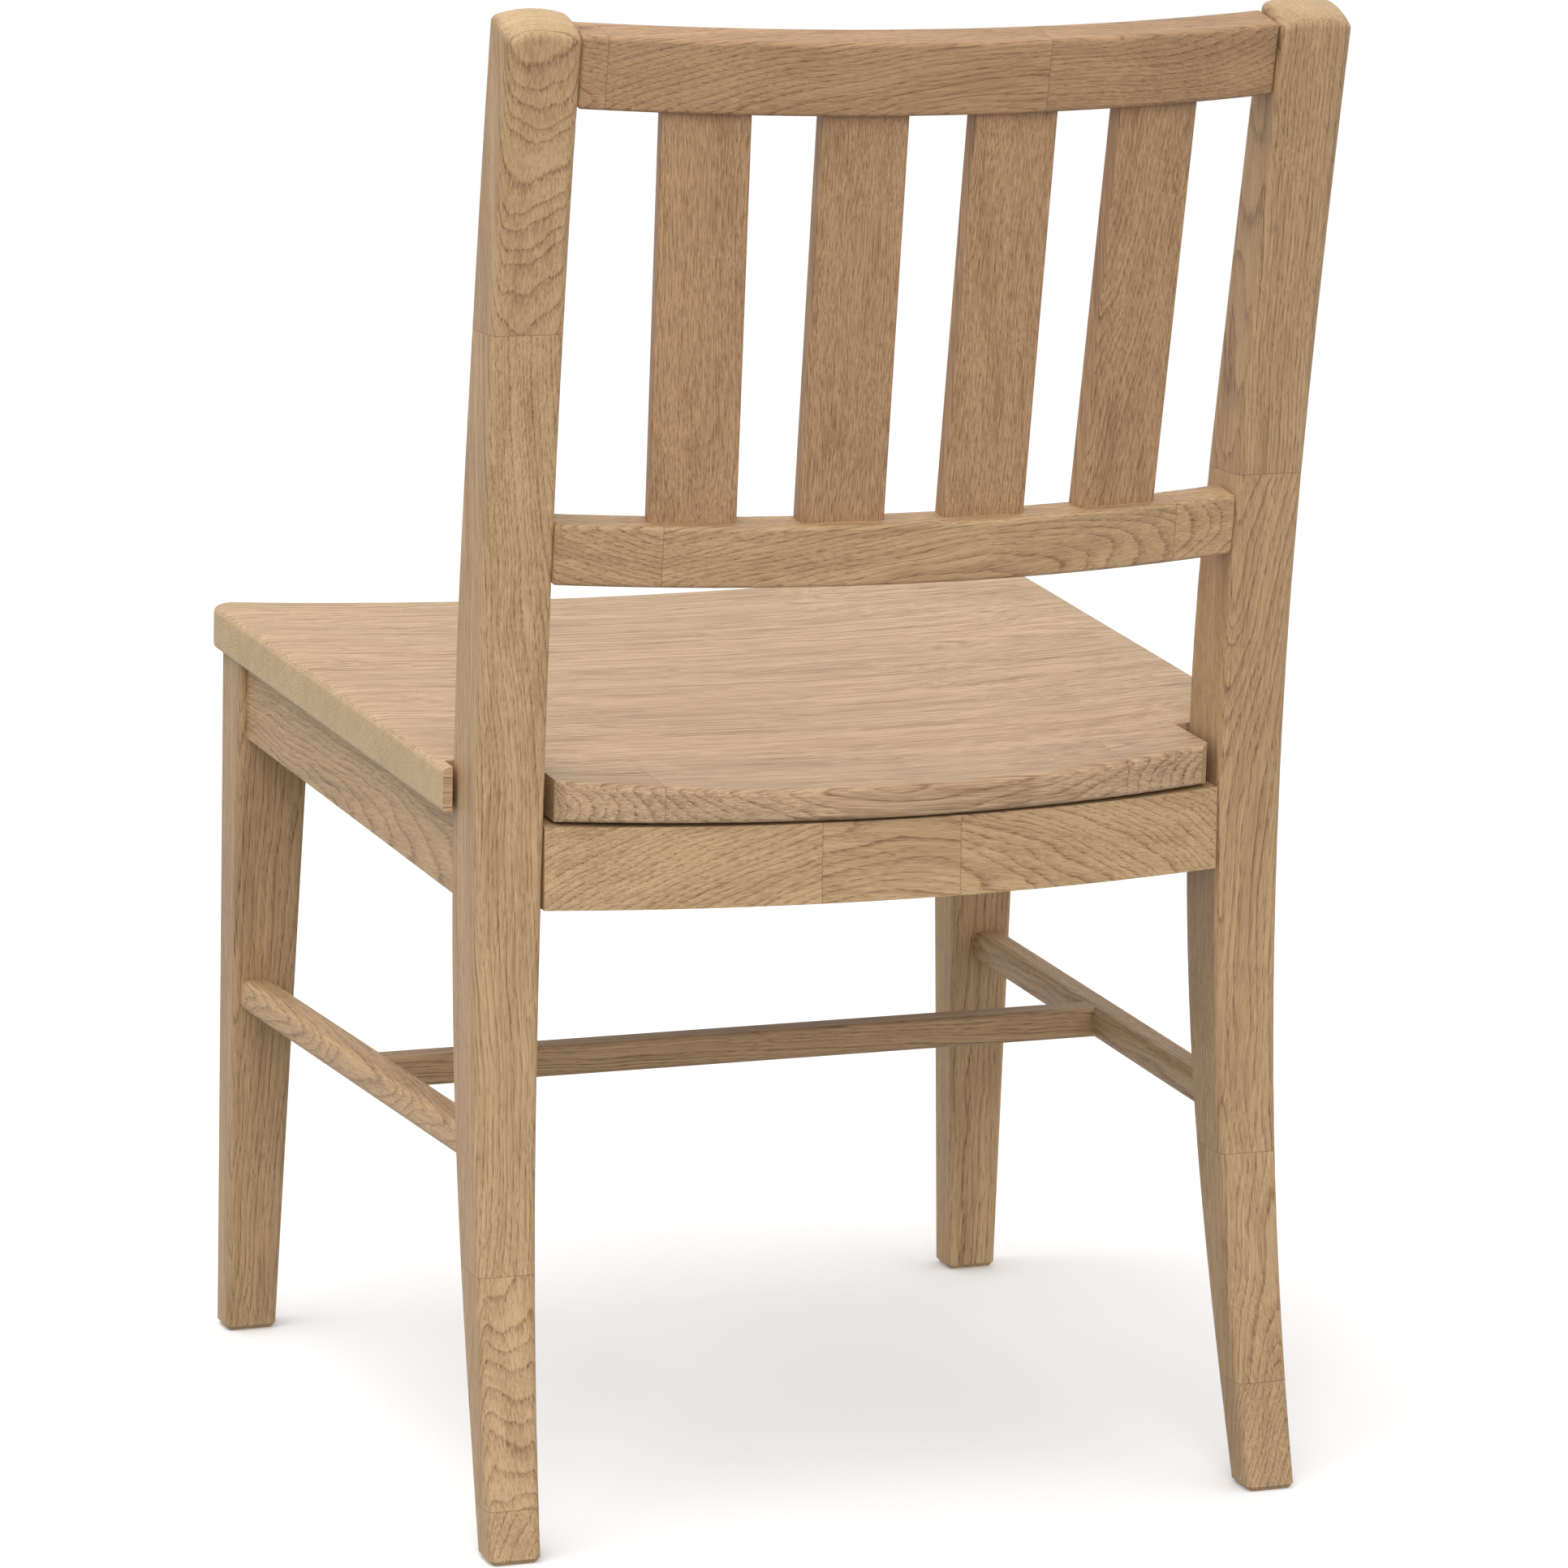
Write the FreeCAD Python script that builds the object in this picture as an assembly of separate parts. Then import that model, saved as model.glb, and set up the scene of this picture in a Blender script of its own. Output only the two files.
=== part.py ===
import FreeCAD, Part
import math
import os

os.makedirs("parts", exist_ok=True)

# Slatted-back dining chair in solid oak.  Millimetres, +Z up, origin on the
# floor in the middle of the chair, the sitter looking along -Y and the
# sitter's left hand on +X.

# --- rear posts: side view (height, front edge, back edge)
POST_SIDE = [
    (0.0, 213.0, 239.0),
    (100.0, 186.5, 217.5),
    (200.0, 166.0, 204.5),
    (300.0, 155.5, 200.0),
    (400.0, 154.5, 202.5),
    (500.0, 163.0, 210.0),
    (640.0, 189.0, 229.0),
    (780.0, 219.5, 254.5),
    (860.0, 238.0, 271.5),
]
# --- rear posts: rear view (height, inner face, outer face), left post
POST_REAR = [
    (0.0, 208.5, 238.0),
    (150.0, 203.0, 236.5),
    (300.0, 198.5, 235.5),
    (440.0, 196.5, 235.0),
    (640.0, 196.5, 236.5),
    (860.0, 196.5, 238.5),
]
POST_TOP = 839.0
POST_CROWN = 60.0
POST_EDGE = 4.5
POST_TOP_EDGE = 4.4
FOOT_CHAMFER = 3.0

# --- seat: a panel sloping down to the back
SEAT_FRONT_Z = 450.0
SEAT_FRONT_Y = -267.0
SEAT_FALL = math.atan(0.05)
SEAT_THICK = 25.5
SEAT_NOSE = 4.0
SEAT_HALF_FRONT = 258.0
SEAT_SIDE_TAPER = 0.0335
SEAT_EAR_END = 435.5
SEAT_NOTCH_Y = 419.5
SEAT_NOTCH_X = 238.0
TONGUE_HALF = 190.5
TONGUE_END = 471.5
TONGUE_BOW = 31.0
TONGUE_CORNER = 5.0
SEAT_DISH = 7.6
SEAT_RIM = 13.0
SEAT_CORNER = 15.0
SEAT_TOP_EDGE = 4.0
SEAT_BOTTOM_EDGE = 3.0
STAVES = 8

# --- front legs
LEG_TOP_Z = 430.0
LEG_TOP = (204.8, 251.0, -265.2, -223.0)
LEG_FOOT = (220.7, 252.2, -284.8, -259.8)
LEG_EDGE = 4.0

# --- aprons under the seat
APRON_HEIGHT = 48.0
APRON_THICK = 20.0
APRON_INSET = 10.5
FRONT_APRON_Y = -258.0
REAR_APRON_Y = 200.5
REAR_APRON_THICK = 22.0
REAR_APRON_BOW = 28.0
REAR_APRON_GAP = 2.0
TENON_LENGTH = 18.0
TENON_THICK = 9.0
TENON_SHOULDER = 8.0

# --- stretchers
STRETCHER_WIDE = 20.5
STRETCHER_HIGH = 19.0
STRETCHER_TOP = 223.5
STRETCHER_OUT_FRONT = 247.0
STRETCHER_OUT_BACK = 227.0
STRETCHER_Y_FRONT = -240.0
STRETCHER_Y_BACK = 165.0
STRETCHER_EDGE = 6.0
STRETCHER_TENON = 16.0
CROSS_Y = -31.5
CROSS_HIGH = 18.0
CROSS_WIDE = 19.5
CROSS_EDGE = 3.0

# --- back rails: height of the lower back arris, its place, rake and section
POST_INNER = 196.5
CREST = dict(z=788.0, y=252.7, rake=12.0, thick=28.0, high=40.0, bow=25.2)
LOWER = dict(z=532.0, y=212.5, rake=8.3, thick=23.8, high=34.0, bow=27.0)
RAIL_EDGE = 2.5
RAIL_TENON = 20.0

# --- back slats: distance from the middle at the bottom and at the top
SLAT_X = [(-121.0, -127.2), (-40.4, -42.3), (40.4, 42.3), (121.0, 127.2)]
SLAT_WIDE = 48.0
SLAT_THICK = 12.0
SLAT_HOUSING = 10.0
SLAT_EDGE = 1.5
SLAT_INSET_LOWER = 9.5
SLAT_INSET_CREST = 8.0

# --- corner blocks and screws
BLOCK_HIGH = 32.0
SCREW_LENGTH = 30.0
SCREW_BITE = 13.0
SCREW_RADIUS = 2.0
SCREW_HEAD_RADIUS = 4.0
SCREW_HEAD_HIGH = 2.6
SEAT_SCREW_BITE = 14.0

X_AXIS = FreeCAD.Vector(1, 0, 0)
Y_AXIS = FreeCAD.Vector(0, 1, 0)
Z_AXIS = FreeCAD.Vector(0, 0, 1)


def vec(x, y, z):
    return FreeCAD.Vector(x, y, z)


def mirrored(shape):
    """The same piece for the sitter's right-hand side."""
    return shape.mirror(vec(0, 0, 0), X_AXIS)


def spline(points):
    """Smooth edge through the points."""
    curve = Part.BSplineCurve()
    curve.interpolate(points)
    return curve.toShape()


def prism(points, direction):
    """Solid pushed out from a closed outline of straight edges."""
    wire = Part.makePolygon(list(points) + [points[0]])
    return Part.Face(wire).extrude(direction)


def hull(lower, upper):
    """Flat-sided solid between two rectangles (x0, x1, y0, y1, z)."""
    rings = []
    for x0, x1, y0, y1, z in (lower, upper):
        rings.append([vec(x0, y0, z), vec(x1, y0, z), vec(x1, y1, z), vec(x0, y1, z)])
    low, high = rings
    outlines = [low[::-1], high]
    for i in range(4):
        j = (i + 1) % 4
        outlines.append([low[i], low[j], high[j], high[i]])
    faces = [Part.Face(Part.makePolygon(points + [points[0]])) for points in outlines]
    return Part.makeSolid(Part.makeShell(faces))


def box(x0, x1, y0, y1, z0, z1):
    return Part.makeBox(x1 - x0, y1 - y0, z1 - z0, vec(x0, y0, z0))


def long_edges(shape, axis, least):
    """Edges longer than `least` that run mostly along `axis`."""
    found = []
    for edge in shape.Edges:
        first = edge.Vertexes[0].Point
        last = edge.Vertexes[-1].Point
        run = last.sub(first)
        if run.Length > least and abs(run.dot(axis)) > 0.9 * run.Length:
            found.append(edge)
    return found


def tidy(shape):
    """Single clean solid out of a boolean result."""
    solids = shape.removeSplitter().Solids
    return max(solids, key=lambda s: s.Volume)


# ---------------------------------------------------------------- seat frame
def seat_place(shape):
    """Move a shape from the flat seat frame to its sloping place."""
    moved = shape.copy()
    moved.rotate(vec(0, 0, 0), X_AXIS, -math.degrees(SEAT_FALL))
    moved.translate(vec(0, SEAT_FRONT_Y, SEAT_FRONT_Z))
    return moved


def seat_underside(y):
    """Height of the seat's underside at a distance y from the middle."""
    drop = SEAT_THICK / math.cos(SEAT_FALL)
    return SEAT_FRONT_Z - (y - SEAT_FRONT_Y) * math.tan(SEAT_FALL) - drop


def below_seat(depth_from, depth_to):
    """Wedge of space between two depths under the seat's underside."""
    y0, y1 = -320.0, 320.0
    outline = [
        vec(-300, y0, seat_underside(y0) - depth_to),
        vec(-300, y1, seat_underside(y1) - depth_to),
        vec(-300, y1, seat_underside(y1) - depth_from),
        vec(-300, y0, seat_underside(y0) - depth_from),
    ]
    return prism(outline, vec(600, 0, 0))


def seat_half_width(y):
    """Half width of the seat at a distance y from the middle."""
    return SEAT_HALF_FRONT - SEAT_SIDE_TAPER * (y - SEAT_FRONT_Y)


# ---------------------------------------------------------------- rear posts
def post_blank():
    """Left rear post, bandsawn to its side view and then to its rear view."""
    front = [vec(150, y, z) for z, y, _ in POST_SIDE]
    back = [vec(150, y, z) for z, _, y in POST_SIDE]
    outline = [
        spline(front),
        Part.makeLine(front[-1], back[-1]),
        spline(back),
        Part.makeLine(back[0], front[0]),
    ]
    side = Part.Face(Part.Wire(Part.__sortEdges__(outline))).extrude(vec(140, 0, 0))
    inner = [vec(x, 100, z) for z, x, _ in POST_REAR]
    outer = [vec(x, 100, z) for z, _, x in POST_REAR]
    outline = [
        spline(inner),
        Part.makeLine(inner[-1], outer[-1]),
        spline(outer),
        Part.makeLine(outer[0], inner[0]),
    ]
    rear = Part.Face(Part.Wire(Part.__sortEdges__(outline))).extrude(vec(0, 250, 0))
    post = side.common(rear)
    rake = math.radians(CREST["rake"])
    apex = vec(217.5, 241, POST_TOP)
    centre = apex.sub(vec(0, POST_CROWN * math.sin(rake), POST_CROWN * math.cos(rake)))
    crown = Part.makeSphere(POST_CROWN, centre)
    trunk = box(100, 300, -200, 400, -5, POST_TOP - 25)
    return tidy(post.common(trunk.fuse(crown)))


def round_post(post):
    """Round the post's long arrises and its top, and chamfer its foot."""
    post = tidy(post.makeFillet(POST_EDGE, long_edges(post, Z_AXIS, 500)))
    top = [e for e in post.Edges if e.BoundBox.ZMin > POST_TOP - 20]
    post = post.makeFillet(POST_TOP_EDGE, top)
    foot = [e for e in post.Edges if e.BoundBox.ZMax < 0.01]
    return tidy(post.makeChamfer(FOOT_CHAMFER, foot))


# ---------------------------------------------------------------- front legs
def leg_blank():
    """Left front leg, square at the seat and tapered to the floor."""
    leg = hull(LEG_FOOT + (0.0,), LEG_TOP + (LEG_TOP_Z,))
    leg = leg.makeFillet(LEG_EDGE, long_edges(leg, Z_AXIS, 300))
    foot = [e for e in leg.Edges if e.BoundBox.ZMax < 0.01]
    leg = leg.makeChamfer(FOOT_CHAMFER, foot)
    return tidy(leg.common(below_seat(0, 600)))


# -------------------------------------------------------------------- aprons
def side_line(y, inset):
    """Distance from the middle to a line parallel to the seat's side."""
    return seat_half_width(y) - inset


def side_apron(leg, post):
    """Left side apron with a tenon into the leg and one into the post."""
    def strip(y0, y1, inset_out, inset_in, depth_from, depth_to):
        outline = [
            vec(side_line(y0, inset_out), y0, 0),
            vec(side_line(y1, inset_out), y1, 0),
            vec(side_line(y1, inset_in), y1, 0),
            vec(side_line(y0, inset_in), y0, 0),
        ]
        return prism(outline, vec(0, 0, 600)).common(below_seat(depth_from, depth_to))

    y_leg, y_post = -227.0, 156.0
    body = strip(y_leg - 8, y_post + 8, APRON_INSET, APRON_INSET + APRON_THICK, 0, APRON_HEIGHT)
    body = tidy(body.cut(leg).cut(post))
    middle = APRON_INSET + APRON_THICK / 2
    tenon = strip(
        y_leg - TENON_LENGTH,
        y_post + TENON_LENGTH,
        middle - TENON_THICK / 2,
        middle + TENON_THICK / 2,
        TENON_SHOULDER,
        APRON_HEIGHT - TENON_SHOULDER,
    )
    return tidy(body.fuse(tenon)), tenon


def front_apron(leg_left, leg_right):
    """Straight apron across the front, tenoned into both legs."""
    reach = 214.0
    body = box(-reach, reach, FRONT_APRON_Y, FRONT_APRON_Y + APRON_THICK, 300, 500)
    body = body.common(below_seat(0, APRON_HEIGHT))
    body = tidy(body.cut(leg_left).cut(leg_right))
    y_mid = FRONT_APRON_Y + APRON_THICK / 2
    reach = LEG_TOP[0] + TENON_LENGTH
    tenon = box(-reach, reach, y_mid - TENON_THICK / 2, y_mid + TENON_THICK / 2, 300, 500)
    tenon = tenon.common(below_seat(TENON_SHOULDER, APRON_HEIGHT - TENON_SHOULDER))
    return tidy(body.fuse(tenon)), tenon


def arc_band(half, y_end, bow, thick, z0, z1):
    """Curved board: back face through (half, y_end), bowed back in the middle."""
    def arc(offset):
        return Part.Arc(
            vec(-half, y_end + offset, z0),
            vec(0, y_end + bow + offset, z0),
            vec(half, y_end + offset, z0),
        ).toShape()

    back = arc(0.0)
    front = arc(-thick)
    left = Part.makeLine(vec(half, y_end, z0), vec(half, y_end - thick, z0))
    right = Part.makeLine(vec(-half, y_end, z0), vec(-half, y_end - thick, z0))
    wire = Part.Wire(Part.__sortEdges__([back, left, front, right]))
    return Part.Face(wire).extrude(vec(0, 0, z1 - z0))


def rear_apron():
    """Bowed apron between the posts, tenoned into both."""
    bottom = seat_underside(REAR_APRON_Y) - APRON_HEIGHT
    body = arc_band(POST_INNER, REAR_APRON_Y, REAR_APRON_BOW, REAR_APRON_THICK, bottom, 450)
    body = tidy(body.common(below_seat(REAR_APRON_GAP, 300)))
    reach = POST_INNER + TENON_LENGTH
    y_mid = REAR_APRON_Y - REAR_APRON_THICK / 2
    tenons = []
    for side in (-1, 1):
        x0, x1 = sorted((side * reach, side * (POST_INNER - 3)))
        tenons.append(
            box(
                x0,
                x1,
                y_mid - TENON_THICK / 2,
                y_mid + TENON_THICK / 2,
                bottom + TENON_SHOULDER,
                bottom + APRON_HEIGHT - TENON_SHOULDER - 2,
            )
        )
    return tidy(body.fuse(tenons)), tenons


# ---------------------------------------------------------------- stretchers
def side_stretcher(leg, post):
    """Left side stretcher, rounded along its edges, with a tenon at each end."""
    def rod(y0, y1, margin, z0, z1):
        slope = (STRETCHER_OUT_BACK - STRETCHER_OUT_FRONT) / (STRETCHER_Y_BACK - STRETCHER_Y_FRONT)
        out0 = STRETCHER_OUT_FRONT + slope * (y0 - STRETCHER_Y_FRONT) - margin
        out1 = STRETCHER_OUT_FRONT + slope * (y1 - STRETCHER_Y_FRONT) - margin
        wide = STRETCHER_WIDE - 2 * margin
        outline = [
            vec(out0, y0, z0),
            vec(out1, y1, z0),
            vec(out1 - wide, y1, z0),
            vec(out0 - wide, y0, z0),
        ]
        return prism(outline, vec(0, 0, z1 - z0))

    z1 = STRETCHER_TOP
    z0 = z1 - STRETCHER_HIGH
    body = rod(STRETCHER_Y_FRONT - 9, STRETCHER_Y_BACK + 9, 0, z0, z1)
    body = body.makeFillet(STRETCHER_EDGE, long_edges(body, Y_AXIS, 300))
    body = tidy(body.cut(leg).cut(post))
    margin = (STRETCHER_WIDE - TENON_THICK) / 2
    tenon = rod(
        STRETCHER_Y_FRONT - STRETCHER_TENON,
        STRETCHER_Y_BACK + STRETCHER_TENON,
        margin,
        z0 + 3,
        z1 - 3,
    )
    return tidy(body.fuse(tenon)), tenon


def cross_stretcher(left, right):
    """Stretcher joining the two side stretchers."""
    z1 = STRETCHER_TOP - 0.5
    z0 = z1 - CROSS_HIGH
    reach = 230.0
    body = box(-reach, reach, CROSS_Y - CROSS_WIDE / 2, CROSS_Y + CROSS_WIDE / 2, z0, z1)
    body = body.makeFillet(CROSS_EDGE, long_edges(body, X_AXIS, 300))
    body = tidy(body.cut(left).cut(right))
    reach = 228.0
    tenon = box(-reach, reach, CROSS_Y - 4, CROSS_Y + 4, z0 + 4, z1 - 4)
    return tidy(body.fuse(tenon)), tenon


# ---------------------------------------------------------------- back rails
def rail_place(shape, rail):
    """Tip a rail back by its rake and lift it to its place."""
    moved = shape.copy()
    moved.rotate(vec(0, 0, 0), X_AXIS, -rail["rake"])
    moved.translate(vec(0, rail["y"], rail["z"]))
    return moved


def back_rail(rail, post):
    """Bowed rail between the posts with a tenon at each end."""
    body = arc_band(POST_INNER, 0.0, rail["bow"], rail["thick"], 0, rail["high"])
    body = body.makeFillet(RAIL_EDGE, body.Edges)
    reach = POST_INNER + RAIL_TENON
    y_mid = -rail["thick"] / 2
    tenons = []
    for side in (-1, 1):
        x0, x1 = sorted((side * reach, side * (POST_INNER - 4)))
        tenons.append(box(x0, x1, y_mid - 5, y_mid + 5, 5, rail["high"] - 5))
    placed = [rail_place(tenon, rail) for tenon in tenons]
    body = rail_place(body, rail).cut([post, mirrored(post)])
    return tidy(body.fuse(placed)), placed


def on_rail(rail, x, inset, up):
    """Point inside a rail: inset from its back face, up from its lower face."""
    bow = rail["bow"]
    radius = (POST_INNER ** 2 + bow ** 2) / (2 * bow)
    back = math.sqrt(radius ** 2 - x ** 2) - (radius - bow)
    rake = math.radians(rail["rake"])
    y = rail["y"] + (back - inset) * math.cos(rake) + up * math.sin(rake)
    z = rail["z"] - (back - inset) * math.sin(rake) + up * math.cos(rake)
    return vec(x, y, z)


def back_slat(x_low, x_high):
    """Flat slat, its full section housed in the two rails."""
    half = SLAT_THICK / 2
    low = on_rail(LOWER, x_low, SLAT_INSET_LOWER + half, LOWER["high"] - SLAT_HOUSING)
    high = on_rail(CREST, x_high, SLAT_INSET_CREST + half, SLAT_HOUSING)
    run = high.sub(low)
    radius = (POST_INNER ** 2 + CREST["bow"] ** 2) / (2 * CREST["bow"])
    turn = math.asin((x_low + x_high) / 2 / radius)
    slat = box(-SLAT_WIDE / 2, SLAT_WIDE / 2, -half, half, 0, run.Length)
    slat = slat.makeFillet(SLAT_EDGE, long_edges(slat, Z_AXIS, 100))
    across = vec(math.cos(turn), -math.sin(turn), 0)
    up = FreeCAD.Vector(run)
    up.normalize()
    through = up.cross(across)
    through.normalize()
    across = through.cross(up)
    matrix = FreeCAD.Matrix(
        across.x, through.x, up.x, low.x,
        across.y, through.y, up.y, low.y,
        across.z, through.z, up.z, low.z,
        0, 0, 0, 1,
    )
    slat.Placement = FreeCAD.Placement(matrix)
    return slat


# ---------------------------------------------------------------------- seat
def panel_half(y):
    """Half width of the seat panel at a distance y behind its front."""
    return SEAT_HALF_FRONT - SEAT_SIDE_TAPER * y


def seat_dish():
    """Cutter for the dish: a shallow arc from rim to rim, the same depth all along."""
    sections = []
    for y in (-60, 660):
        half = panel_half(y) - SEAT_RIM
        arc = Part.Arc(vec(-half, y, 0), vec(0, y, -SEAT_DISH), vec(half, y, 0)).toShape()
        lid = Part.makePolygon([vec(half, y, 0), vec(half, y, 30), vec(-half, y, 30), vec(-half, y, 0)])
        sections.append(Part.Wire(Part.__sortEdges__([arc] + lid.Edges)))
    return Part.makeLoft(sections, True, True)


def seat_blank():
    """Whole seat panel before it is parted into staves, in its own flat frame."""
    nose = -SEAT_NOSE
    down = -SEAT_THICK
    right_side = [
        vec(-panel_half(nose), nose, down),
        vec(panel_half(nose), nose, down),
        vec(panel_half(SEAT_EAR_END), SEAT_EAR_END, down),
        vec(SEAT_NOTCH_X, SEAT_EAR_END, down),
        vec(SEAT_NOTCH_X, SEAT_NOTCH_Y, down),
        vec(TONGUE_HALF, SEAT_NOTCH_Y, down),
        vec(TONGUE_HALF, TONGUE_END - TONGUE_CORNER, down),
        vec(TONGUE_HALF - TONGUE_CORNER, TONGUE_END, down),
    ]
    left_side = [
        vec(TONGUE_CORNER - TONGUE_HALF, TONGUE_END, down),
        vec(-TONGUE_HALF, TONGUE_END - TONGUE_CORNER, down),
        vec(-TONGUE_HALF, SEAT_NOTCH_Y, down),
        vec(-SEAT_NOTCH_X, SEAT_NOTCH_Y, down),
        vec(-SEAT_NOTCH_X, SEAT_EAR_END, down),
        vec(-panel_half(SEAT_EAR_END), SEAT_EAR_END, down),
        vec(-panel_half(nose), nose, down),
    ]
    edges = []
    for run in (right_side, left_side):
        for first, last in zip(run[:-1], run[1:]):
            edges.append(Part.makeLine(first, last))
    bow = Part.Arc(right_side[-1], vec(0, TONGUE_END + TONGUE_BOW, down), left_side[0])
    edges.append(bow.toShape())
    wire = Part.Wire(Part.__sortEdges__(edges))
    panel = Part.Face(wire).extrude(vec(0, 0, SEAT_THICK))
    upright = [e for e in panel.Edges if e.BoundBox.ZLength > SEAT_THICK - 0.1]
    corners = [e for e in upright if e.Vertexes[0].Point.y < nose + 0.01]
    panel = panel.makeFillet(SEAT_CORNER, corners)
    panel = tidy(panel.cut(seat_dish()))
    return round_seat(panel)


def round_seat(panel):
    """Round the front, side and back edges of the panel, top and bottom."""
    def is_outline(edge):
        point = edge.valueAt((edge.FirstParameter + edge.LastParameter) / 2)
        at_side = point.y < SEAT_NOTCH_Y - 5 and panel_half(point.y) - abs(point.x) < 1
        at_back = point.y > TONGUE_END
        return edge.BoundBox.ZLength < 10 and (at_side or at_back or point.y < 5)

    top = [e for e in panel.Edges if e.BoundBox.ZMin > -10 and is_outline(e)]
    panel = panel.makeFillet(SEAT_TOP_EDGE, top)
    bottom = [e for e in panel.Edges if e.BoundBox.ZMax < -20 and is_outline(e)]
    return tidy(panel.makeFillet(SEAT_BOTTOM_EDGE, bottom))


def seat_staves(panel):
    """The placed panel parted across the chair into edge-glued staves."""
    start = -SEAT_NOSE
    step = (TONGUE_END + TONGUE_BOW - start) / STAVES
    staves = []
    for i in range(STAVES):
        slab = box(-300, 300, start + i * step, start + (i + 1) * step, -60, 20)
        staves.append(tidy(panel.common(seat_place(slab))))
    return staves


# ----------------------------------------------------- corner blocks, screws
def corner_block(points, neighbours):
    """Triangular-section block glued in a corner under the seat."""
    outline = [vec(x, y, 300) for x, y in points]
    block = prism(outline, vec(0, 0, 200)).common(below_seat(0, BLOCK_HIGH))
    for other in neighbours:
        block = block.cut(other)
    return tidy(block)


def screw(face_point, direction, bite):
    """Wood screw biting `bite` past a face: the screw, its hole and its counterbore."""
    head_at = face_point - direction * (SCREW_LENGTH - bite)
    point_long = 5.0
    tip_at = head_at + direction * (SCREW_LENGTH - point_long)
    shank = Part.makeCylinder(SCREW_RADIUS, SCREW_LENGTH - point_long, head_at, direction)
    tip = Part.makeCone(SCREW_RADIUS, 0.3, point_long, tip_at, direction)
    head = Part.makeCone(SCREW_HEAD_RADIUS, SCREW_RADIUS, SCREW_HEAD_HIGH, head_at, direction)
    hole = tidy(shank.fuse([tip, head]))
    drive = Part.makeCylinder(1.4, 1.2, head_at, direction)
    bore = Part.makeCylinder(SCREW_HEAD_RADIUS, 40.0, head_at - direction * 40.0, direction)
    return tidy(hole.cut(drive)), hole, bore


def block_height(y):
    """Height of the screw line in a block at a distance y from the middle."""
    return seat_underside(y) - BLOCK_HIGH / 2


def main():
    square_post = post_blank()
    post = round_post(square_post)
    leg = leg_blank()
    apron, apron_tenon = side_apron(leg, square_post)
    front, front_tenon = front_apron(leg, mirrored(leg))
    rear, rear_tenons = rear_apron()
    stretcher, stretcher_tenon = side_stretcher(leg, post)
    cross, cross_tenon = cross_stretcher(stretcher, mirrored(stretcher))
    crest, crest_tenons = back_rail(CREST, post)
    lower, lower_tenons = back_rail(LOWER, post)
    seat = seat_place(seat_blank())

    slats = [back_slat(x_low, x_high) for x_low, x_high in SLAT_X]
    crest = tidy(crest.cut(slats))
    lower = tidy(lower.cut(slats))
    leg = tidy(leg.cut([apron_tenon, front_tenon, stretcher_tenon]))
    tenons = [apron_tenon, stretcher_tenon] + rear_tenons + crest_tenons + lower_tenons
    post = tidy(post.cut(tenons))
    stretcher = tidy(stretcher.cut(cross_tenon))

    front_block = corner_block([(160, -246), (234, -174), (234, -140), (127, -246)], [front, apron])
    rear_block = corner_block([(224, 108), (224, 72), (104, 200), (138, 200)], [rear, apron])

    # Screws of the left-hand blocks: each goes through its block into an apron
    # or up into the seat; the right-hand ones mirror them.
    inner = APRON_INSET + APRON_THICK
    front_screws = [
        screw(vec(165, FRONT_APRON_Y + APRON_THICK, block_height(-238)), -Y_AXIS, SCREW_BITE),
        screw(vec(side_line(-178, inner), -178, block_height(-178)), X_AXIS, SCREW_BITE),
        screw(vec(186, -207, seat_underside(-207)), Z_AXIS, SEAT_SCREW_BITE),
    ]
    rear_screws = [
        screw(vec(side_line(104, inner), 104, block_height(104)), X_AXIS, SCREW_BITE),
        screw(vec(135, 192.5, block_height(192)), Y_AXIS, SCREW_BITE),
        screw(vec(170, 146, seat_underside(146)), Z_AXIS, SEAT_SCREW_BITE),
    ]
    for _, hole, bore in front_screws:
        front_block = tidy(front_block.cut([hole, bore]))
    for _, hole, bore in rear_screws:
        rear_block = tidy(rear_block.cut([hole, bore]))
    holes = [hole for _, hole, _ in front_screws + rear_screws]
    both_sides = holes + [mirrored(hole) for hole in holes]
    apron = tidy(apron.cut(holes))
    front = tidy(front.cut(both_sides))
    rear = tidy(rear.cut(both_sides))
    staves = [tidy(stave.cut(both_sides)) for stave in seat_staves(seat)]
    bodies = [body for body, _, _ in front_screws + rear_screws]
    into_seat = [bodies[2], bodies[5]]
    into_aprons = bodies[0:2] + bodies[3:5]

    parts = {
        "crest_rail": crest,
        "lower_back_rail": lower,
        "front_apron": front,
        "rear_apron": rear,
        "cross_stretcher": cross,
        "corner_block_screws": Part.makeCompound(into_aprons + [mirrored(s) for s in into_aprons]),
        "seat_screws": Part.makeCompound(into_seat + [mirrored(s) for s in into_seat]),
    }
    pairs = {
        "rear_post": post,
        "front_leg": leg,
        "side_apron": apron,
        "side_stretcher": stretcher,
        "corner_block_front": front_block,
        "corner_block_rear": rear_block,
    }
    for name, shape in pairs.items():
        parts[name + "_left"] = shape
        parts[name + "_right"] = mirrored(shape)
    for number, slat in enumerate(slats, 1):
        parts["back_slat_%d" % number] = slat
    for number, stave in enumerate(staves, 1):
        parts["seat_stave_%d" % number] = stave
    for name, shape in parts.items():
        shape.exportStep("parts/%s.step" % name)


main()
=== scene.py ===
"""Solid oak dining chair: looks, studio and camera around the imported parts. Metres throughout."""

import bpy
import numpy as np
from mathutils import Matrix, Vector

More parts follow.
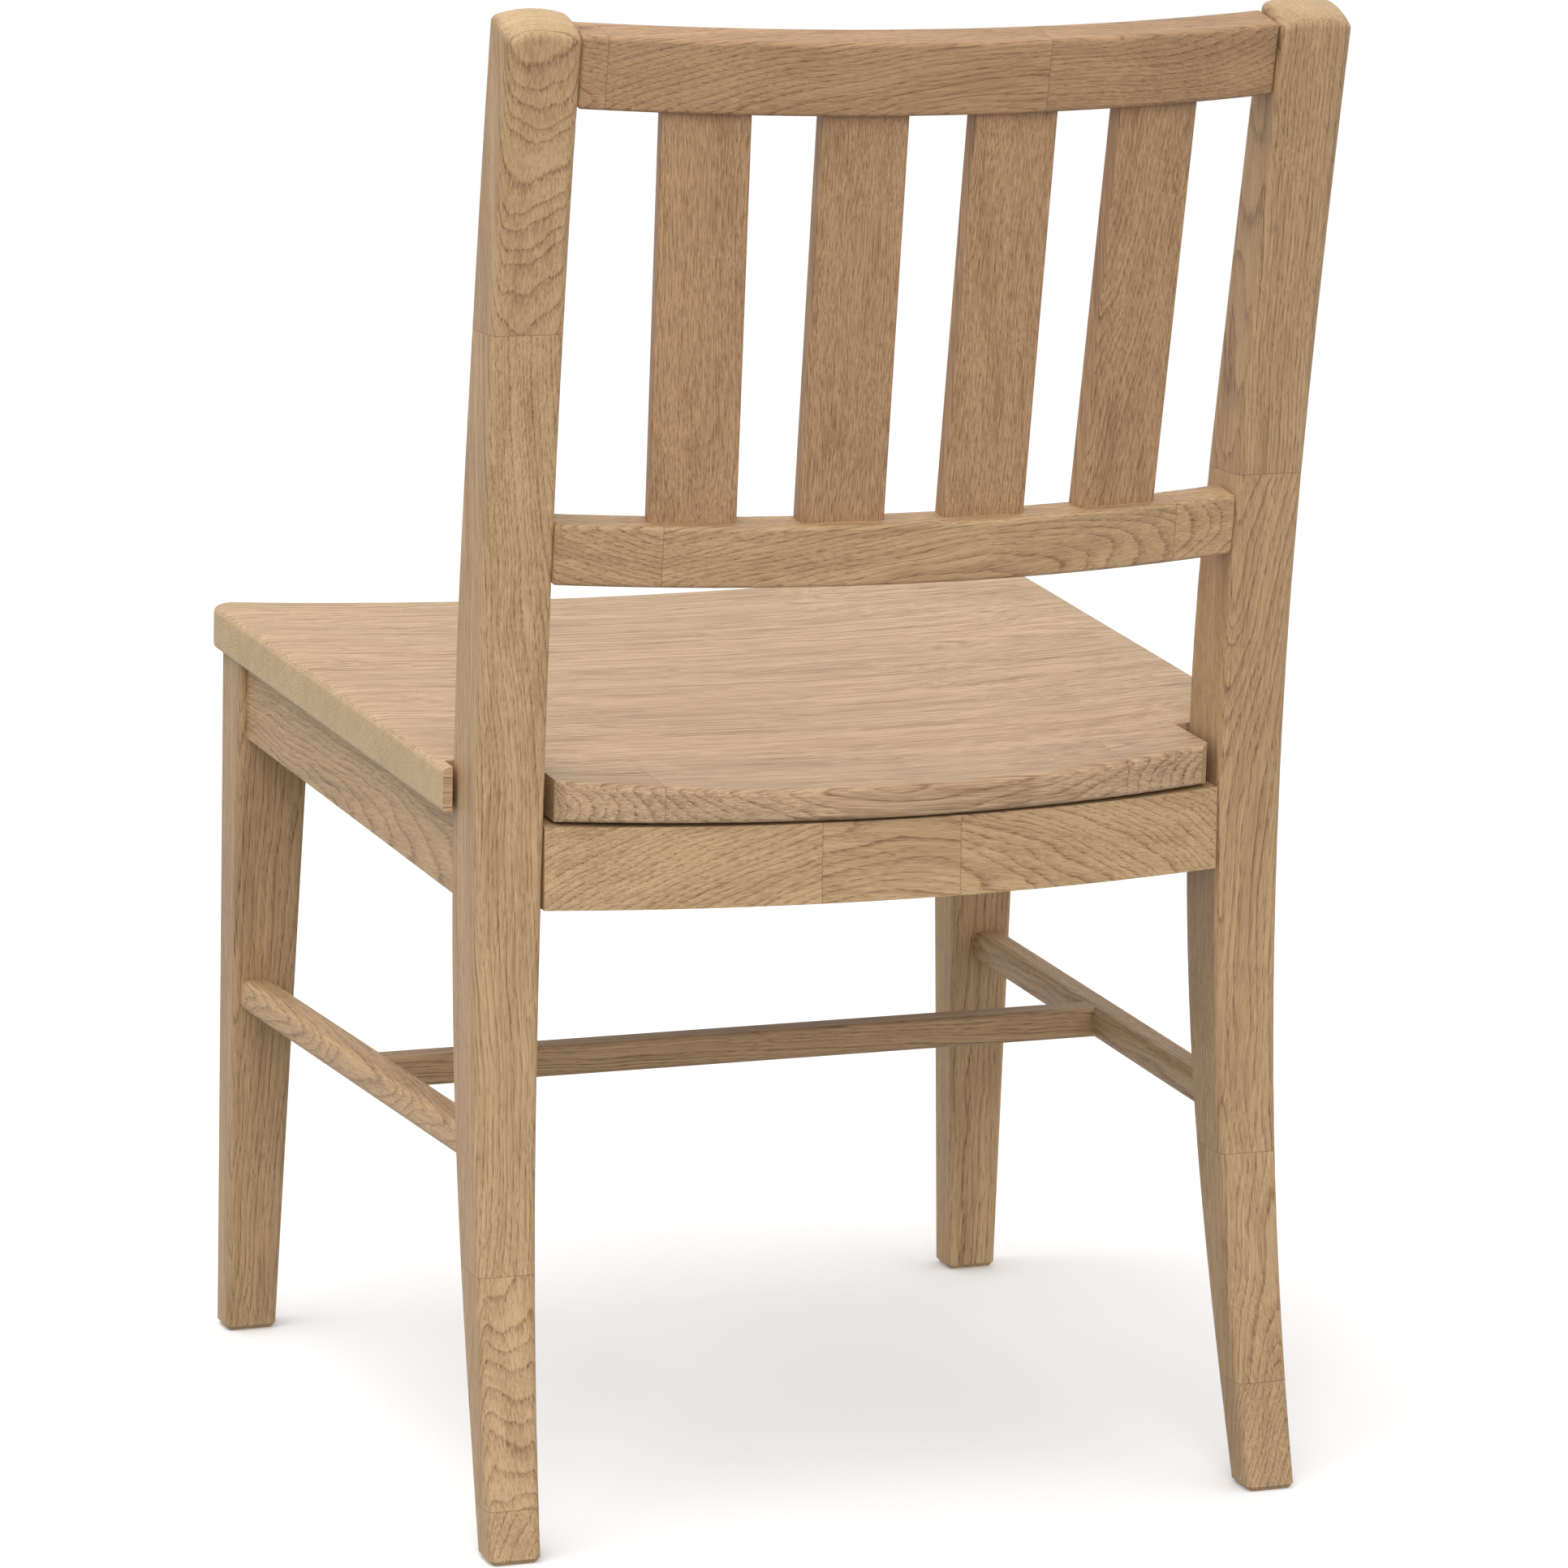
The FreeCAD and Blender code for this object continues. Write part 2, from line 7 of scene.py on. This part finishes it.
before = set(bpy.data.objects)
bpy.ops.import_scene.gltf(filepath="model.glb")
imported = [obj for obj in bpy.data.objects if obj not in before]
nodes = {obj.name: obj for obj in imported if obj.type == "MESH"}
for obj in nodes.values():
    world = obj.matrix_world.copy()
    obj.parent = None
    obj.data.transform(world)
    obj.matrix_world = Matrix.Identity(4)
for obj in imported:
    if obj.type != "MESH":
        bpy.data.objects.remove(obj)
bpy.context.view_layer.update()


# ---------------------------------------------------------------- rear posts
# Two bandsawn oak posts, each joined end to end from four short planks, raked
# back above the seat and swept back below it. The arrises are rounded, the
# tops domed, and the whole chair is oiled matt.


def linear(hex_colour):
    """sRGB hex to linear RGBA: each channel follows the sRGB transfer curve."""
    channels = [int(hex_colour[i : i + 2], 16) / 255 for i in (1, 3, 5)]
    return [c / 12.92 if c <= 0.04045 else ((c + 0.055) / 1.055) ** 2.4 for c in channels] + [1.0]


def add(tree, kind, *inputs, **settings):
    """Add one shader node; inputs are values or sockets, in the node's own order, None to skip."""
    made = tree.nodes.new(kind)
    for name, value in settings.items():
        setattr(made, name, value)
    for place, value in enumerate(inputs):
        if isinstance(value, bpy.types.NodeSocket):
            tree.links.new(value, made.inputs[place])
        elif value is not None:
            made.inputs[place].default_value = value
    return made


GRAIN_ORDER = {"x": (1, 2, 0), "y": (0, 2, 1), "z": (0, 1, 2)}
LATEWOOD = "#C5A47C"
EARLYWOOD = "#7D5C3E"
PORE = "#5A402A"
END_GRAIN = "#CDB285"


def oak(name, grain, planks, wood=LATEWOOD, ring_mm=2.4, rings=0.5, fibres=0.36, pores=0.36, pore_mm=9.0):
    """Solid oak sawn from planks laid end to end along the grain axis.

    planks: (start, pith a, pith b, lean a, lean b, tone) in metres, the first
    start ignored. Within a plank the growth rings are cylinders about a pith
    line that leans against the grain axis, so a face cuts them into straight
    lines, flames or nested arches. Each ring begins with a thin dark line of
    pores that fades into the paler latewood; finer pores run as dashes along
    the grain. Across the grain the same field shows as end grain.
    """
    material = bpy.data.materials.new(name)
    material.use_nodes = True
    tree = material.node_tree
    tree.nodes.clear()
    output = add(tree, "ShaderNodeOutputMaterial")
    surface = add(tree, "ShaderNodeBsdfPrincipled")
    tree.links.new(surface.outputs[0], output.inputs[0])

    place = add(tree, "ShaderNodeTexCoord").outputs["Object"]
    axes = add(tree, "ShaderNodeSeparateXYZ", place)
    a, b, along = [axes.outputs[i] for i in GRAIN_ORDER[grain]]
    board = add(tree, "ShaderNodeCombineXYZ", a, b, along).outputs[0]

    # Which plank a point is in, as that plank's pith, lean and tone, and the
    # glue line at each joint.
    pith = tuple(planks[0][1:3]) + (0.0,)
    lean = tuple(planks[0][3:5]) + (0.0,)
    shade = (planks[0][5],) * 3
    glue = 0.0
    for start, pith_a, pith_b, lean_a, lean_b, plank_tone in planks[1:]:
        past = add(tree, "ShaderNodeMath", along, start, operation="GREATER_THAN").outputs[0]
        near = add(tree, "ShaderNodeMath", along, start, 0.0003, operation="COMPARE").outputs[0]
        glue = add(tree, "ShaderNodeMath", near, glue, operation="MAXIMUM").outputs[0]
        mixed = []
        for before, after in (
            (pith, (pith_a, pith_b, start * 7.3)),
            (lean, (lean_a, lean_b, 0.0)),
            (shade, (plank_tone,) * 3),
        ):
            step = add(tree, "ShaderNodeMix", data_type="VECTOR")
            tree.links.new(past, step.inputs[0])
            for socket, value in ((step.inputs[4], before), (step.inputs[5], after)):
                if isinstance(value, bpy.types.NodeSocket):
                    tree.links.new(value, socket)
                else:
                    socket.default_value = value
            mixed.append(step.outputs[1])
        pith, lean, shade = mixed

    # Distance from the pith line, with the slow wander of a real trunk and a
    # fine raggedness of 0.3 mm.
    shifted = add(tree, "ShaderNodeVectorMath", board, pith, operation="SUBTRACT").outputs[0]
    drift = add(tree, "ShaderNodeVectorMath", lean, operation="SCALE")
    tree.links.new(along, drift.inputs["Scale"])
    centred = add(tree, "ShaderNodeVectorMath", shifted, drift.outputs[0], operation="SUBTRACT").outputs[0]
    slow = add(tree, "ShaderNodeVectorMath", shifted, (24.0, 24.0, 8.0), operation="MULTIPLY").outputs[0]
    wander = add(tree, "ShaderNodeTexNoise", slow, None, 1.0, 2.0, 0.5).outputs["Color"]
    sway = add(tree, "ShaderNodeVectorMath", wander, (0.5, 0.5, 0.5), operation="SUBTRACT").outputs[0]
    swayed = add(
        tree, "ShaderNodeVectorMath", sway, (0.010, 0.010, 0.0), centred, operation="MULTIPLY_ADD"
    ).outputs[0]
    quick = add(tree, "ShaderNodeVectorMath", shifted, (420.0, 420.0, 60.0), operation="MULTIPLY").outputs[0]
    ragged = add(tree, "ShaderNodeTexNoise", quick, None, 1.0, 1.0, 0.5).outputs[0]
    flat = add(tree, "ShaderNodeVectorMath", swayed, (1.0, 1.0, 0.0), operation="MULTIPLY").outputs[0]
    radius = add(tree, "ShaderNodeVectorMath", flat, operation="LENGTH").outputs["Value"]
    radius = add(tree, "ShaderNodeMath", ragged, 0.0006, radius, operation="MULTIPLY_ADD").outputs[0]
    count = add(tree, "ShaderNodeMath", radius, 1000.0 / ring_mm, operation="MULTIPLY").outputs[0]
    uneven = add(tree, "ShaderNodeTexNoise", None, count, 0.35, 1.0, 0.5, noise_dimensions="1D")
    count = add(tree, "ShaderNodeMath", uneven.outputs[0], 1.6, count, operation="MULTIPLY_ADD").outputs[0]
    phase = add(tree, "ShaderNodeMath", count, operation="FRACT").outputs[0]
    band = add(tree, "ShaderNodeValToRGB", phase)
    ramp = band.color_ramp
    ramp.elements[0].position = 0.0
    ramp.elements[0].color = (1, 1, 1, 1)
    ramp.elements[1].position = 0.80
    ramp.elements[1].color = (0, 0, 0, 1)
    for position, level in ((0.16, 0.42), (0.40, 0.12), (0.93, 0.0), (1.0, 0.8)):
        ramp.elements.new(position).color = (level, level, level, 1)
    early = band.outputs[0]

    # Fibres: streaks 1 mm wide and some 100 mm long, and broader slow clouds.
    fine = add(tree, "ShaderNodeVectorMath", swayed, (1000.0, 1000.0, 9.0), operation="MULTIPLY").outputs[0]
    streaks = add(tree, "ShaderNodeTexNoise", fine, None, 1.0, 2.0, 0.6).outputs[0]
    broad = add(tree, "ShaderNodeVectorMath", swayed, (90.0, 90.0, 6.0), operation="MULTIPLY").outputs[0]
    clouds = add(tree, "ShaderNodeTexNoise", broad, None, 1.0, 2.0, 0.55).outputs[0]

    # Pores: open vessels 0.4 mm wide, drawn as dashes of about pore_mm.
    dashes = (1900.0, 1900.0, 1000.0 / pore_mm)
    dash = add(tree, "ShaderNodeVectorMath", swayed, dashes, operation="MULTIPLY").outputs[0]
    vessel = add(tree, "ShaderNodeTexNoise", dash, None, 1.0, 1.0, 0.4).outputs[0]
    crowd = add(tree, "ShaderNodeMath", early, 0.13, vessel, operation="MULTIPLY_ADD").outputs[0]
    open_pore = add(tree, "ShaderNodeMapRange", crowd, 0.60, 0.72, 0.0, 1.0).outputs[0]

    # Colour: latewood to earlywood, streaked by the fibres, then the pores.
    broken = add(tree, "ShaderNodeMapRange", vessel, 0.30, 0.62, 0.35, 1.15).outputs[0]
    line = add(tree, "ShaderNodeMath", early, broken, operation="MULTIPLY").outputs[0]
    fibre_part = add(
        tree, "ShaderNodeMapRange", streaks, 0.28, 0.72, -0.5 * fibres, fibres, clamp=False
    ).outputs[0]
    cloud_part = add(tree, "ShaderNodeMapRange", clouds, 0.30, 0.70, -0.04, 0.26, clamp=False).outputs[0]
    weight = add(tree, "ShaderNodeMath", line, rings, fibre_part, operation="MULTIPLY_ADD").outputs[0]
    weight = add(tree, "ShaderNodeMath", weight, cloud_part, operation="ADD", use_clamp=True).outputs[0]
    colour = add(tree, "ShaderNodeMix", data_type="RGBA")
    tree.links.new(weight, colour.inputs[0])
    colour.inputs[6].default_value = linear(wood)
    colour.inputs[7].default_value = linear(EARLYWOOD)
    pored = add(tree, "ShaderNodeMix", data_type="RGBA")
    marks = add(tree, "ShaderNodeMath", open_pore, pores, operation="MULTIPLY").outputs[0]
    marks = add(tree, "ShaderNodeMath", glue, 0.35, marks, operation="MULTIPLY_ADD", use_clamp=True).outputs[0]
    tree.links.new(marks, pored.inputs[0])
    tree.links.new(colour.outputs[2], pored.inputs[6])
    pored.inputs[7].default_value = linear(PORE)

    # End grain: cut vessels as specks, a little paler and yellower.
    facing = add(tree, "ShaderNodeNewGeometry").outputs["Normal"]
    parts = add(tree, "ShaderNodeSeparateXYZ", facing)
    end = add(tree, "ShaderNodeMath", parts.outputs["xyz".index(grain)], operation="ABSOLUTE").outputs[0]
    end = add(tree, "ShaderNodeMapRange", end, 0.72, 0.92, 0.0, 0.4).outputs[0]
    ended = add(tree, "ShaderNodeMix", data_type="RGBA")
    tree.links.new(end, ended.inputs[0])
    tree.links.new(pored.outputs[2], ended.inputs[6])
    ended.inputs[7].default_value = linear(END_GRAIN)
    toned = add(tree, "ShaderNodeVectorMath", ended.outputs[2], shade, operation="MULTIPLY").outputs[0]
    tree.links.new(toned, surface.inputs["Base Color"])

    # Oiled and rubbed down: matt, with the pores left open to the touch.
    surface.inputs["Roughness"].default_value = 0.55
    surface.inputs["IOR"].default_value = 1.5
    surface.inputs["Specular IOR Level"].default_value = 0.3
    depth = add(tree, "ShaderNodeMath", marks, -0.8, streaks, operation="MULTIPLY_ADD").outputs[0]
    relief = add(tree, "ShaderNodeBump")
    relief.inputs["Strength"].default_value = 0.3
    relief.inputs["Distance"].default_value = 0.0004
    tree.links.new(depth, relief.inputs["Height"])
    tree.links.new(relief.outputs[0], surface.inputs["Normal"])
    return material


def dress(node, material):
    """Keep a CAD node and give it its finished material."""
    piece = nodes[node]
    piece.data.materials.clear()
    piece.data.materials.append(material)
    return piece


POST_LEFT_PLANKS = [
    (0.0, 0.17, 0.33, 0.03, 0.05, 0.97),
    (0.029, 0.226, 0.10, 0.0, 0.0, 1.0),
    (0.154, 0.13, 0.28, 0.01, -0.02, 0.98),
    (0.669, 0.222, 0.345, 0.0, 0.0, 0.93),
]
POST_RIGHT_PLANKS = [
    (0.0, -0.15, 0.14, -0.05, 0.08, 0.86),
    (0.060, -0.26, 0.30, 0.05, -0.05, 0.92),
    (0.189, -0.13, 0.31, -0.06, 0.02, 0.90),
    (0.577, -0.31, 0.15, 0.04, 0.10, 0.86),
]
dress("rear_post_left", oak("oiled_oak_left_post", "z", POST_LEFT_PLANKS))
dress("rear_post_right", oak("oiled_oak_right_post", "z", POST_RIGHT_PLANKS))


# ---------------------------------------------------------------- front legs
# Solid oak legs, square under the seat and tapered to the floor, with the
# grain running down their length.

LEG_LEFT_PLANKS = [(0.0, 0.16, -0.35, 0.0, 0.03, 0.92)]
LEG_RIGHT_PLANKS = [(0.0, -0.20, -0.34, 0.02, 0.10, 1.0)]
dress("front_leg_left", oak("oiled_oak_left_leg", "z", LEG_LEFT_PLANKS))
dress("front_leg_right", oak("oiled_oak_right_leg", "z", LEG_RIGHT_PLANKS))


# -------------------------------------------------------------------- aprons
# Four oak aprons under the seat, tenoned and glued into the legs and posts.
# The rear one is bandsawn to a bow.

FRONT_APRON_PLANKS = [(0.0, -0.15, 0.50, 0.05, 0.02, 0.97)]
dress("front_apron", oak("oiled_oak_front_apron", "x", FRONT_APRON_PLANKS))
REAR_APRON_PLANKS = [
    (0.0, 0.30, 0.36, 0.0, 0.22, 1.0),
    (-0.033, 0.16, 0.40, 0.02, 0.06, 0.98),
    (0.047, 0.33, 0.30, 0.02, -0.20, 1.0),
]
dress("rear_apron", oak("oiled_oak_rear_apron", "x", REAR_APRON_PLANKS))
for side, sign in (("left", 1), ("right", -1)):
    planks = [(0.0, sign * 0.30, 0.36, 0.03, 0.05, 0.98)]
    dress("side_apron_" + side, oak("oiled_oak_side_apron_" + side, "y", planks))


# ---------------------------------------------------------------- stretchers
# Slim oak rails that tie the legs: one down each side, rounded along their
# upper edges, and a thinner one across between them, all mortised and glued.

for side, sign, tone in (("left", 1, 1.02), ("right", -1, 0.93)):
    planks = [(0.0, sign * 0.33, 0.24, 0.04, 0.03, tone)]
    dress("side_stretcher_" + side, oak("oiled_oak_stretcher_" + side, "y", planks))
CROSS_PLANKS = [(0.0, 0.02, 0.30, 0.0, 0.03, 0.85)]
dress("cross_stretcher", oak("oiled_oak_cross_stretcher", "x", CROSS_PLANKS))


# ---------------------------------------------------------------- back rails
# The crest rail and the lower back rail, sawn to a bow from thick oak joined
# end to end, and tenoned between the posts. The crest is a redder board, like
# the slats below it.

BACK_OAK = "#C59D76"
CREST_PLANKS = [
    (0.0, 0.30, 0.84, 0.0, 0.06, 0.78),
    (-0.056, 0.31, 0.76, 0.0, -0.09, 0.80),
    (0.183, 0.24, 0.79, 0.0, 0.02, 0.80),
]
LOWER_PLANKS = [
    (0.0, 0.27, 0.53, 0.0, -0.08, 0.98),
    (-0.157, 0.26, 0.52, 0.0, -0.10, 0.93),
    (0.140, 0.28, 0.57, 0.0, 0.09, 0.90),
]
dress("crest_rail", oak("oiled_oak_crest_rail", "x", CREST_PLANKS, BACK_OAK))
dress("lower_back_rail", oak("oiled_oak_lower_rail", "x", LOWER_PLANKS))


# --------------------------------------------------------------- back slats
# Four flat oak slats, straight-grained, housed in the two back rails.

for number, tone in ((1, 0.83), (2, 0.85), (3, 0.81), (4, 0.84)):
    planks = [(0.0, -0.25 + 0.17 * number, 0.42 - 0.06 * number, 0.02, 0.03, tone)]
    material = oak(
        "oiled_oak_slat_%d" % number, "z", planks, BACK_OAK, ring_mm=1.5, rings=0.4, fibres=0.5, pore_mm=30.0
    )
    dress("back_slat_%d" % number, material)


# ---------------------------------------------------------------------- seat
# Eight oak staves with the grain from side to side, edge-glued, then hollowed
# to a shallow dish with a raised rim along each side.

SEAT_OAK = "#CDAE8B"
for number in range(1, 9):
    pith_y = -0.26 + 0.07 * number
    planks = [(0.0, pith_y, 0.28 + 0.03 * (number % 3), 0.02, 0.01, 0.95 + 0.03 * (number % 2))]
    if number == 8:
        planks = [
            (0.0, 0.185, 0.408, 0.0, 0.0, 0.87),
            (-0.135, 0.10, 0.36, 0.03, 0.02, 0.88),
            (0.134, 0.185, 0.408, 0.0, 0.0, 0.87),
        ]
    material = oak(
        "oiled_oak_stave_%d" % number, "x", planks, SEAT_OAK, rings=0.45, fibres=0.5, pores=0.3, pore_mm=20.0
    )
    dress("seat_stave_%d" % number, material)


# ------------------------------------------------------------- corner blocks
# Oak blocks glued and screwed inside the seat frame's four corners.

blocks_oak = oak("oiled_oak_corner_blocks", "x", [(0.0, 0.05, 0.33, 0.02, 0.02, 0.93)])
for corner in ("front_left", "front_right", "rear_left", "rear_right"):
    dress("corner_block_" + corner, blocks_oak)


# -------------------------------------------------------------------- screws
# Zinc-plated steel wood screws, sunk in counterbores: a bright grey metal
# with a soft, slightly blue shine.

zinc = bpy.data.materials.new("zinc_plated_steel")
zinc.use_nodes = True
plating = zinc.node_tree.nodes["Principled BSDF"]
plating.inputs["Base Color"].default_value = linear("#B9BCBE")
plating.inputs["Metallic"].default_value = 1.0
plating.inputs["Roughness"].default_value = 0.38
dress("corner_block_screws", zinc)
dress("seat_screws", zinc)


# --------------------------------------------------------------------- floor
# A plain white sweep, large enough to fill the view on every side.


def plain(name, colour, roughness):
    """A smooth matt paint."""
    material = bpy.data.materials.new(name)
    material.use_nodes = True
    paint = material.node_tree.nodes["Principled BSDF"]
    paint.inputs["Base Color"].default_value = linear(colour)
    paint.inputs["Roughness"].default_value = roughness
    paint.inputs["Specular IOR Level"].default_value = 0.0
    return material


sheet = bpy.data.meshes.new("floor")
reach = 14.0
corners = np.array([[-reach, -reach, 0], [reach, -reach, 0], [reach, reach, 0], [-reach, reach, 0]])
sheet.from_pydata(corners.tolist(), [], [(0, 1, 2, 3)])
floor = bpy.data.objects.new("floor", sheet)
bpy.context.collection.objects.link(floor)
sheet.materials.append(plain("white_floor_paint", "#FFFFFF", 0.9))
floor.visible_diffuse = False


# -------------------------------------------------------------------- lights
# Soft studio light: a bright even surround, a large softbox above to the
# chair's left and a smaller fill behind the camera.

world = bpy.data.worlds.new("studio")
world.use_nodes = True
sky = world.node_tree
height = add(sky, "ShaderNodeSeparateXYZ", add(sky, "ShaderNodeTexCoord").outputs["Generated"]).outputs[2]
level = add(sky, "ShaderNodeMapRange", height, -0.15, 0.25, 0.35, 1.0).outputs[0]
sky.nodes["Background"].inputs["Color"].default_value = (1, 1, 1, 1)
sky.links.new(level, sky.nodes["Background"].inputs["Strength"])
bpy.context.scene.world = world


def softbox(name, place, aim, size, watts):
    """A square area light at a place, turned to face a point."""
    data = bpy.data.lights.new(name, "AREA")
    data.shape = "SQUARE"
    data.size = size
    data.energy = watts
    light = bpy.data.objects.new(name, data)
    bpy.context.collection.objects.link(light)
    light.location = place
    light.rotation_euler = (Vector(aim) - Vector(place)).to_track_quat("-Z", "Y").to_euler()
    return light


softbox("key_softbox", (1.4, 0.3, 3.2), (0, 0, 0.4), 2.4, 34)
softbox("fill_softbox", (0.9, 3.6, 2.0), (0, 0, 0.45), 2.4, 62)


# -------------------------------------------------------------------- camera
# A long lens from behind and above, on the chair's left.

eye = Vector((1.241083, 3.468700, 1.085072))
right = Vector((-0.9411, 0.3380, 0.0100))
up = Vector((-0.0548, -0.1815, 0.9819))
forward = Vector((-0.3337, -0.9235, -0.1893)).normalized()
right = (right - forward * right.dot(forward)).normalized()
up = right.cross(forward).normalized()
lens = bpy.data.cameras.new("camera")
lens.sensor_width = 36.0
lens.lens = 149.56
lens.clip_end = 60.0
camera = bpy.data.objects.new("camera", lens)
bpy.context.collection.objects.link(camera)
turn = Matrix((right, up, -forward)).transposed().to_4x4()
camera.matrix_world = Matrix.Translation(eye) @ turn
bpy.context.scene.camera = camera

bpy.context.scene.view_settings.view_transform = "Standard"
